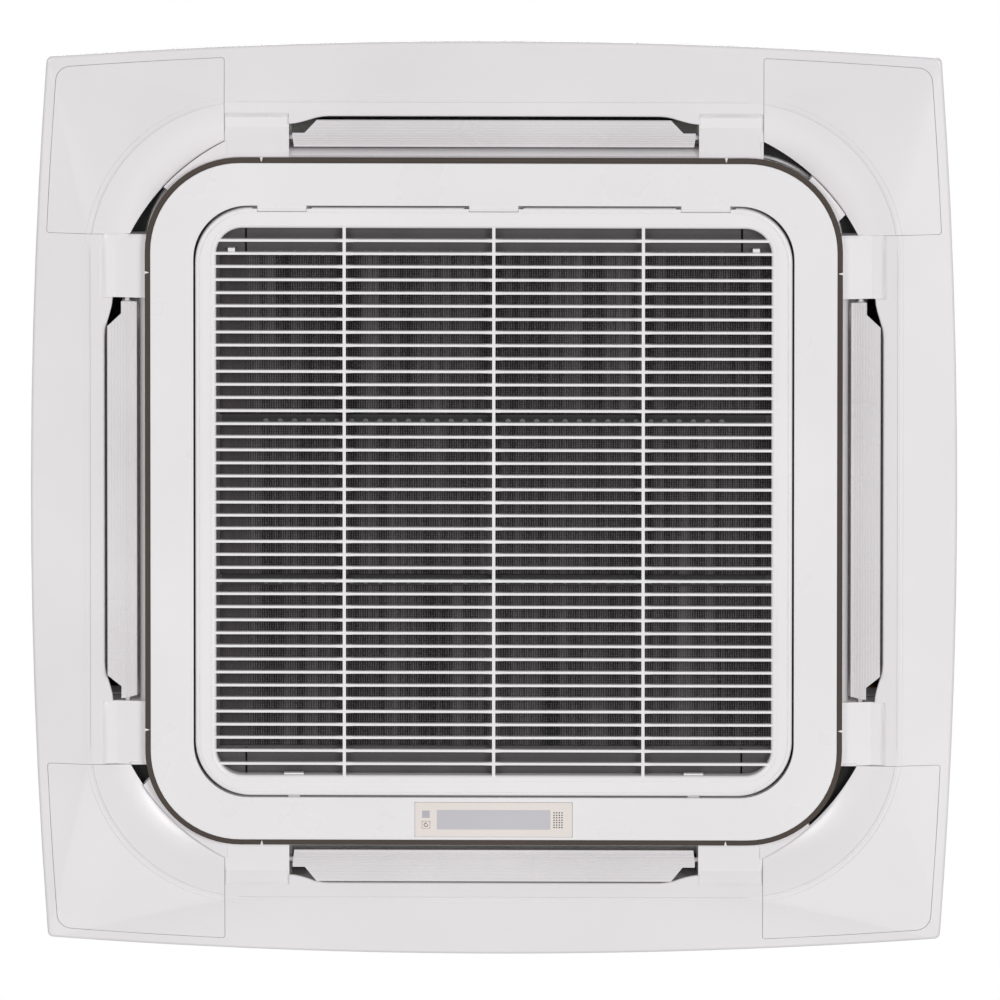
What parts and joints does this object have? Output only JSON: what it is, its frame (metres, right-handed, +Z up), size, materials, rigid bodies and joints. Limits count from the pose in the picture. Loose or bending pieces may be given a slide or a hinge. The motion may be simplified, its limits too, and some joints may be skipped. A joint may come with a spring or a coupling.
{
  "type": "ceiling cassette air conditioner",
  "caption": "Four-way ceiling cassette air conditioner with a white square panel, side louvres, a slatted intake grille and the hanging unit above it.",
  "frame": {"origin": "on the fan's axis, in the plane of the ceiling that the panel's rim closes against", "axes": "+Z up into the ceiling, so the panel faces -Z; +Y towards the side with the display; +X towards the right-hand side for someone who looks up at the panel with the display side at the bottom of the view"},
  "size_m": [0.95, 0.95, 0.296],
  "materials": {
    "white_plastic": "semi-gloss moulded ABS, cool white",
    "grille_plastic": "satin moulded polystyrene, white",
    "louvre_plastic": "semi-gloss moulded ABS, light grey-white",
    "brown_trim": "satin brown-grey moulding",
    "cream_plastic": "satin warm white moulding",
    "display_lens": "smooth pale grey window, unlit",
    "sensor_lens": "pale grey infrared window",
    "circuit_board": "green solder mask",
    "black_foam": "closed-cell foam",
    "filter_plastic": "matt black moulding",
    "filter_net": "fine woven polypropylene net, charcoal",
    "motor_steel": "zinc-plated steel",
    "motor_case": "die-cast aluminium",
    "bush_plastic": "self-lubricating acetal, dark",
    "zinc_steel": "galvanised sheet",
    "screw_steel": "bright zinc plate",
    "foam": "expanded polypropylene, dark grey",
    "pan_foam": "expanded polystyrene with a moulded skin, white",
    "rubber": "matt black rubber",
    "dark_plastic": "glass-filled plastic, charcoal",
    "fin_aluminium": "hydrophilic-coated fins",
    "copper": "drawn copper tube",
    "grey_plastic": "grey PVC",
    "capacitor_case": "white polypropylene case"
  },
  "bodies": {
    "unit": {"panel_frame": "white_plastic", "ceiling_gasket": "black_foam", "centre_ring": "white_plastic", "trim_band": "brown_trim", "display_bezel": "cream_plastic", "display_window": "display_lens", "sensor_window": "sensor_lens", "display_board": "circuit_board", "louvre_motor_front": "motor_steel", "louvre_motor_left": "motor_steel", "louvre_motor_back": "motor_steel", "louvre_motor_right": "motor_steel", "louvre_bushes": "bush_plastic", "panel_seals": "black_foam", "panel_screws": "screw_steel", "casing_sides": "zinc_steel", "casing_top": "zinc_steel", "foam_liner": "foam", "drain_pan": "pan_foam", "drain_plug": "rubber", "bell_mouth": "dark_plastic", "fan_motor": "motor_case", "motor_mounts": "rubber", "coil_fins": "fin_aluminium", "coil_end_plates": "zinc_steel", "coil_bends": "copper", "closing_plate": "zinc_steel", "gas_pipe": "copper", "liquid_pipe": "copper", "pipe_plate": "zinc_steel", "drain_pump": "dark_plastic", "drain_outlet": "grey_plastic", "control_box": "zinc_steel", "control_box_cover": "zinc_steel", "main_board": "circuit_board", "terminal_block": "grey_plastic", "fan_capacitor": "capacitor_case", "hanger_brackets": "zinc_steel", "bracket_screws": "screw_steel", "cable_grommet": "rubber"},
    "grille": {"intake_grille": "grille_plastic", "hinge_pins": "motor_steel"},
    "left_latch": {"latch_left": "white_plastic"},
    "right_latch": {"latch_right": "white_plastic"},
    "filter": {"filter_frame": "filter_plastic", "filter_mesh": "filter_net"},
    "fan": {"fan_impeller": "dark_plastic", "motor_shaft": "motor_steel", "fan_nut": "motor_steel"},
    "front_louvre": {"louvre_front": "louvre_plastic"},
    "left_louvre": {"louvre_left": "louvre_plastic"},
    "back_louvre": {"louvre_back": "louvre_plastic"},
    "right_louvre": {"louvre_right": "louvre_plastic"},
    "pump_wheel": {"pump_impeller": "dark_plastic"},
    "float": {"float_switch": "dark_plastic"},
    "button": {"power_button": "cream_plastic"},
    "front_right_cover": {"corner_cover_front_right": "white_plastic"},
    "front_left_cover": {"corner_cover_front_left": "white_plastic"},
    "back_left_cover": {"corner_cover_back_left": "white_plastic"},
    "back_right_cover": {"corner_cover_back_right": "white_plastic"}
  },
  "joints": [
    {"name": "grille_open", "type": "hinge", "parent": "unit", "child": "grille", "pos_m": [0, -0.3037, -0.0289], "axis": [-1, 0, 0], "range_deg": [0, 90]},
    {"name": "left_latch_slide", "type": "slide", "parent": "grille", "child": "left_latch", "axis": [0, -1, 0], "range_m": [0, 0.0038]},
    {"name": "right_latch_slide", "type": "slide", "parent": "grille", "child": "right_latch", "axis": [0, -1, 0], "range_m": [0, 0.0038]},
    {"name": "filter_lift", "type": "slide", "parent": "grille", "child": "filter", "axis": [0, 0, 1], "range_m": [0, 0.009]},
    {"name": "fan_spin", "type": "hinge", "parent": "unit", "child": "fan", "pos_m": [0, 0, 0.12], "axis": [0, 0, 1], "continuous": true},
    {"name": "front_louvre_swing", "type": "hinge", "parent": "unit", "child": "front_louvre", "pos_m": [0, 0.376, -0.0075], "axis": [-1, 0, 0], "range_deg": [-3, 45]},
    {"name": "left_louvre_swing", "type": "hinge", "parent": "unit", "child": "left_louvre", "pos_m": [-0.376, 0, -0.0075], "axis": [0, -1, 0], "range_deg": [-3, 45]},
    {"name": "back_louvre_swing", "type": "hinge", "parent": "unit", "child": "back_louvre", "pos_m": [0, -0.376, -0.0075], "axis": [1, 0, 0], "range_deg": [-3, 45]},
    {"name": "right_louvre_swing", "type": "hinge", "parent": "unit", "child": "right_louvre", "pos_m": [0.376, 0, -0.0075], "axis": [0, 1, 0], "range_deg": [-3, 45]},
    {"name": "pump_spin", "type": "hinge", "parent": "unit", "child": "pump_wheel", "pos_m": [0.291, 0.291, 0.07], "axis": [0, 0, 1], "continuous": true},
    {"name": "float_rise", "type": "slide", "parent": "unit", "child": "float", "axis": [0, 0, 1], "range_m": [0, 0.03]},
    {"name": "button_press", "type": "slide", "parent": "unit", "child": "button", "axis": [0, 0, 1], "range_m": [0, 0.001], "stiffness_N_per_m": 900, "springref_m": -0.0005},
    {"name": "front_right_cover_pull", "type": "slide", "parent": "unit", "child": "front_right_cover", "axis": [0, 0, -1], "range_m": [0, 0.05]},
    {"name": "front_left_cover_pull", "type": "slide", "parent": "unit", "child": "front_left_cover", "axis": [0, 0, -1], "range_m": [0, 0.05]},
    {"name": "back_left_cover_pull", "type": "slide", "parent": "unit", "child": "back_left_cover", "axis": [0, 0, -1], "range_m": [0, 0.05]},
    {"name": "back_right_cover_pull", "type": "slide", "parent": "unit", "child": "back_right_cover", "axis": [0, 0, -1], "range_m": [0, 0.05]}
  ]
}
